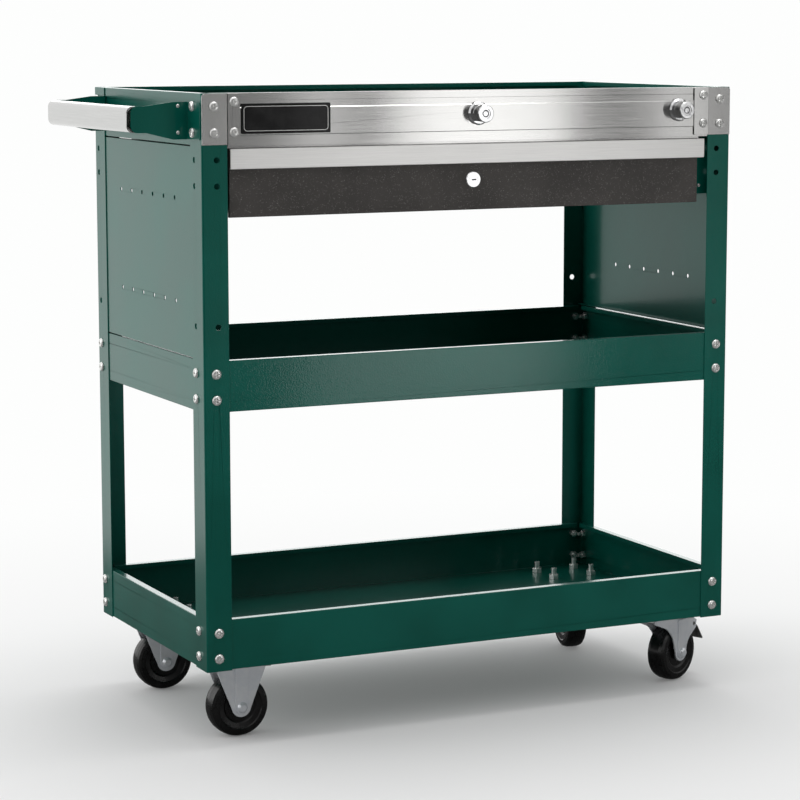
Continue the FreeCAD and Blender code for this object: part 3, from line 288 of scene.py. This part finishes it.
# ---------------------------------------------------------------- mesh helpers
def skin(shape, rings):
    """Faces between each ring of points and the next."""
    for ring, following in zip(rings, rings[1:]):
        for here in range(len(ring)):
            after = (here + 1) % len(ring)
            shape.faces.new((ring[here], ring[after], following[after], following[here]))


def new_piece(name, shape, material, body):
    """Make an object of a finished shape, on a body and with a slot."""
    bmesh.ops.recalc_face_normals(shape, faces=shape.faces)
    mesh = bpy.data.meshes.new(name)
    shape.to_mesh(mesh)
    shape.free()
    piece = bpy.data.objects.new(name, mesh)
    bpy.context.scene.collection.objects.link(piece)
    mesh.materials.append(material)
    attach(piece, body)


def rounded_rectangle(width, height, radius, steps=6):
    """Points round a rectangle with rounded corners, about its own middle."""
    points = []
    for turn, (sx, sy) in enumerate(((1, 1), (-1, 1), (-1, -1), (1, -1))):
        cx = sx * (width / 2 - radius)
        cy = sy * (height / 2 - radius)
        for step in range(steps + 1):
            angle = math.radians(90 * (turn + step / steps))
            points.append((cx + radius * math.cos(angle), cy + radius * math.sin(angle)))
    return points


def socket_radius(angle, across):
    """How far a hexagon's edge is from its middle, for a size across its flats."""
    sixth = math.radians(60)
    return across / 2 / math.cos(angle % sixth - sixth / 2)


def make_button_heads(name, places, towards, radius, height, material, body):
    """Low domed screw heads with a hexagon socket, at the places, facing one way."""
    steps = 36
    socket = 0.8 * radius
    socket_floor = 0.35 * height
    turn = Vector(towards).to_track_quat("Z", "Y").to_matrix()
    dome = ((radius, 0.0), (radius, 0.35 * height), (0.93 * radius, 0.62 * height),
            (0.80 * radius, 0.85 * height), (0.62 * radius, height))
    angles = [math.radians(360 * step / steps) for step in range(steps)]
    outlines = [[(out * math.cos(angle), out * math.sin(angle), up) for angle in angles]
                for out, up in dome]
    for up in (height, socket_floor):
        outlines.append([(socket_radius(angle, socket) * math.cos(angle),
                          socket_radius(angle, socket) * math.sin(angle), up) for angle in angles])
    shape = bmesh.new()
    for place in places:
        rings = [[shape.verts.new(Vector(place) + turn @ Vector(point)) for point in points]
                 for points in outlines]
        skin(shape, rings)
        shape.faces.new(rings[-1])
        shape.faces.new(tuple(reversed(rings[0])))
    new_piece(name, shape, material, body)


# ---------------------------------------------------------------- small trim
def make_hanger_screws():
    """The screws that hold the drawer's hangers: two in each front flange, three in the tray."""
    flange_inset = 0.0095                 # from the flange's inner edge, clear of the drawer's front
    low_row = 0.011
    high_row = 0.016
    end_margin = 0.045
    floor_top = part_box("top_tray")[0].z + SHEET
    for side, inward in (("left", 1), ("right", -1)):
        low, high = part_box(f"slide_bracket_{side}")
        edge = high.x if inward > 0 else low.x
        flange_x = edge - inward * flange_inset
        front = [(flange_x, low.y, low.z + low_row), (flange_x, low.y, high.z - high_row)]
        make_button_heads(f"hanger_front_screws_{side}", front, (0, -1, 0), 0.0023, 0.0012,
                          NICKEL, "root")
        middle_x = (low.x + high.x) / 2
        along = (low.y + end_margin, (low.y + high.y) / 2, high.y - end_margin)
        top = [(middle_x, y, floor_top) for y in along]
        make_button_heads(f"hanger_top_screws_{side}", top, (0, 0, 1), 0.0048, 0.0024,
                          NICKEL, "root")


def make_slide_screws():
    """The slides' fixings, seen as domed heads on the inside of the drawer's walls."""
    end_margin = 0.035
    low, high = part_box("drawer_box")
    slide_low, slide_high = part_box("slide_inner_left")
    height = (slide_low.z + slide_high.z) / 2
    along = (slide_low.y + end_margin, (slide_low.y + slide_high.y) / 2, slide_high.y - end_margin)
    for side, wall, inward in (("left", low.x + SHEET, 1), ("right", high.x - SHEET, -1)):
        make_button_heads(f"drawer_slide_screws_{side}", [(wall, y, height) for y in along],
                          (inward, 0, 0), 0.0040, 0.0019, ZINC, "drawer")


def make_pedal_ribs():
    """Pressed ribs across each brake lever's tread, so that a shoe doesn't slip."""
    steps = 10
    rib = 0.0009
    half_width = 0.0125
    tip = 0.35                                            # the ribs' ends, as a share of their size
    tread_start = (0.0135, -0.0078)                       # out and up from the lever's pin
    tread_end = (0.0240, -0.0235)
    profile = ((-half_width, tip), (-half_width + rib, 1.0), (half_width - rib, 1.0), (half_width, tip))
    angles = [math.radians(360 * step / steps) for step in range(steps)]
    up = Vector((0, 0, 1))
    for end in ("front", "rear"):
        joint = next(joint for joint in frame["joints"] if joint["name"] == f"brake_{end}_press")
        pin = Vector(joint["pos_m"])
        across = Vector(joint["axis"]).normalized()
        out = across.cross(up).normalized()
        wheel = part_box(f"wheel_{end}_right")
        if out.dot(pin - (wheel[0] + wheel[1]) / 2) < 0:
            out = -out
        run = (tread_end[0] - tread_start[0]) * out + (tread_end[1] - tread_start[1]) * up
        normal = (run.z * -out + run.dot(out) * up).normalized()
        shape = bmesh.new()
        for share in (0.25, 0.5, 0.75):
            middle = pin + tread_start[0] * out + tread_start[1] * up + share * run
            rings = []
            for reach, scale in profile:
                rings.append([shape.verts.new(
                    middle + reach * across + scale * rib * (math.cos(angle) * run.normalized()
                                                             + math.sin(angle) * normal))
                              for angle in angles])
            skin(shape, rings)
            shape.faces.new(rings[0])
            shape.faces.new(rings[-1])
        new_piece(f"pedal_ribs_{end}", shape, BRAKE, f"brake_{end}")


def make_label_outline():
    """The thin raised line inside the edge of the blank plate."""
    inset = 0.0032
    line = 0.0007
    rise = 0.00025
    corner = 0.0045
    low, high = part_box("label_plate")
    width = high.x - low.x - 2 * inset
    height = high.z - low.z - 2 * inset
    centre = (low + high) / 2
    outer = rounded_rectangle(width, height, corner)
    inner = rounded_rectangle(width - 2 * line, height - 2 * line, corner - line)
    shape = bmesh.new()
    rings = []
    for points, depth in ((outer, 0.0), (outer, rise), (inner, rise), (inner, 0.0)):
        rings.append([shape.verts.new((centre.x + x, low.y - depth, centre.z + z)) for x, z in points])
    skin(shape, rings + rings[:1])
    new_piece("label_outline", shape, NICKEL, "root")


# ---------------------------------------------------------------- studio
PALE = (0.985, 0.99, 0.985, 1)


def make_floor():
    """A wide pale floor with a painted glow: white far off and fading round the cart, where the floor is darker,
    partly painted shade and partly real shading; in front of the cart it is painted dark in reflections.
    """
    floor_half = 60.0
    shade_middle = (-0.1, -0.3, 0.0)
    grid = bpy.data.meshes.new("floor")
    corners = [(-floor_half, -floor_half, 0), (floor_half, -floor_half, 0),
               (floor_half, floor_half, 0), (-floor_half, floor_half, 0)]
    grid.from_pydata(corners, [], [(0, 1, 2, 3)])
    floor = bpy.data.objects.new("floor", grid)
    bpy.context.scene.collection.objects.link(floor)
    material, graph = new_material("studio_floor")
    point = graph.object_point()
    away = graph.vector_math("LENGTH", graph.vector_math("SUBTRACT", point, shade_middle), out=1)
    matte = graph.add("ShaderNodeBsdfDiffuse", {"Color": grey(0.76)})
    # painted light: the floor glows, fully far off and only a tenth round the cart, so the floor is painted darker
    # round the cart over the real shading of the matte part
    painted_glow = graph.add("ShaderNodeEmission", {"Color": PALE, "Strength": 1.0})
    blend = graph.add("ShaderNodeMixShader", {0: graph.ramp(away, 0.35, 1.9, 0.10, 1.0),
                                              1: matte.outputs[0], 2: painted_glow.outputs[0]})
    # painted reflection: to reflected rays only, the floor in front of the cart and round it turns near black, a
    # painted dark reflection in the glossy parts
    ahead = graph.add("ShaderNodeSeparateXYZ", {0: point}).outputs["Y"]
    mirrored = graph.add("ShaderNodeLightPath").outputs["Is Glossy Ray"]
    dark_reflection_area = graph.math("MAXIMUM", graph.ramp(ahead, -0.3, -1.0, 0.0, 0.93),
                         graph.ramp(away, 1.7, 1.25, 0.0, 0.85))
    dark_reflection_mask = graph.math("MULTIPLY", mirrored, dark_reflection_area)
    painted_dark_reflection = graph.add("ShaderNodeBsdfDiffuse", {"Color": grey(0.01)})
    shaded = graph.add("ShaderNodeMixShader", {0: dark_reflection_mask, 1: blend.outputs[0], 2: painted_dark_reflection.outputs[0]})
    output = graph.add("ShaderNodeOutputMaterial")
    graph.put(shaded.outputs[0], output.inputs["Surface"])
    grid.materials.append(material)


def make_world():
    """A studio that is bright above, behind and to the left, and dim in front; pale to look at."""
    dim_side = (0.45, -0.89, 0.0)
    screen_side = (0.43, 0.90, 0.0)
    world = bpy.data.worlds.new("studio")
    bpy.context.scene.world = world
    graph = Graph(world)
    generated = graph.add("ShaderNodeTexCoord").outputs["Generated"]
    towards = graph.vector_math("NORMALIZE", generated)
    front = graph.vector_math("DOT_PRODUCT", towards, dim_side, out=1)
    above = graph.add("ShaderNodeSeparateXYZ", {0: towards}).outputs["Z"]
    behind = graph.vector_math("DOT_PRODUCT", towards, screen_side, out=1)
    sides = graph.ramp(front, -0.25, 0.45, 1.0, 0.05)
    room = graph.math("MAXIMUM", sides, graph.ramp(above, 0.28, 0.75, 0.0, 0.9))
    level = graph.math("ADD", room, graph.ramp(behind, 0.86, 0.97, 0.0, 1.3))
    lit = graph.add("ShaderNodeBackground", {"Color": (1, 1, 1, 1), "Strength": level})
    seen = graph.add("ShaderNodeBackground", {"Color": PALE, "Strength": 1.0})
    camera_ray = graph.add("ShaderNodeLightPath").outputs["Is Camera Ray"]
    blend = graph.add("ShaderNodeMixShader", {0: camera_ray, 1: lit.outputs[0], 2: seen.outputs[0]})
    output = graph.add("ShaderNodeOutputWorld")
    graph.put(blend.outputs[0], output.inputs["Surface"])


def make_softbox(name, place, aim, width, height, watts):
    """A rectangular soft light at a place, turned to its aim."""
    light = bpy.data.lights.new(name, "AREA")
    light.shape = "RECTANGLE"
    light.size = width
    light.size_y = height
    light.energy = watts
    lamp = bpy.data.objects.new(name, light)
    bpy.context.scene.collection.objects.link(lamp)
    lamp.location = place
    lamp.rotation_euler = (Vector(aim) - Vector(place)).to_track_quat("-Z", "Y").to_euler()


def make_lights():
    """A soft light overhead, one from the left, and upright strips that the bright trim mirrors."""
    make_softbox("overhead", (0.2, 0.1, 2.6), (0.0, 0.0, 0.0), 1.6, 1.2, 26)
    strip_y = -3.0
    strip_z = 1.0
    strip_height = 1.9
    for name, x, aim_x, width, watts in (
            ("front_strip", 1.50, 1.0, 0.46, 3.6), ("front_strip_right", 2.08, 1.5, 0.20, 1.0),
            ("front_strip_left", 1.06, 0.8, 0.13, 0.55), ("front_wash", 0.78, 0.6, 0.38, 0.3)):
        make_softbox(name, (x, strip_y, strip_z), (aim_x, 0.0, strip_z), width, strip_height, watts)
    make_softbox("low_strip", (0.96, -2.2, 0.17), (0.9, 0.0, 0.17), 0.62, 0.28, 1.6)
    make_softbox("left_fill", (-2.6, 0.9, 1.2), (0.0, 0.0, 0.4), 1.2, 1.6, 10)


def make_camera():
    """The camera of the front view, a long lens from the front left."""
    from_corner = Vector((-1.180, -3.022, 0.801))
    yaw = math.radians(-25.6)
    pitch_down = 8.03
    roll = math.radians(0.06)
    camera = bpy.data.cameras.new("camera")
    camera.lens = 119.4
    camera.sensor_width = 36.0
    camera.clip_end = 200.0
    viewer = bpy.data.objects.new("camera", camera)
    bpy.context.scene.collection.objects.link(viewer)
    viewer.location = CORNER + from_corner
    viewer.rotation_euler = (math.radians(90 - pitch_down), roll, yaw)
    bpy.context.scene.camera = viewer


dress_nodes()
make_label_outline()
make_hanger_screws()
make_slide_screws()
make_pedal_ribs()
make_floor()
make_world()
make_lights()
make_camera()
bpy.context.scene.view_settings.view_transform = "Standard"
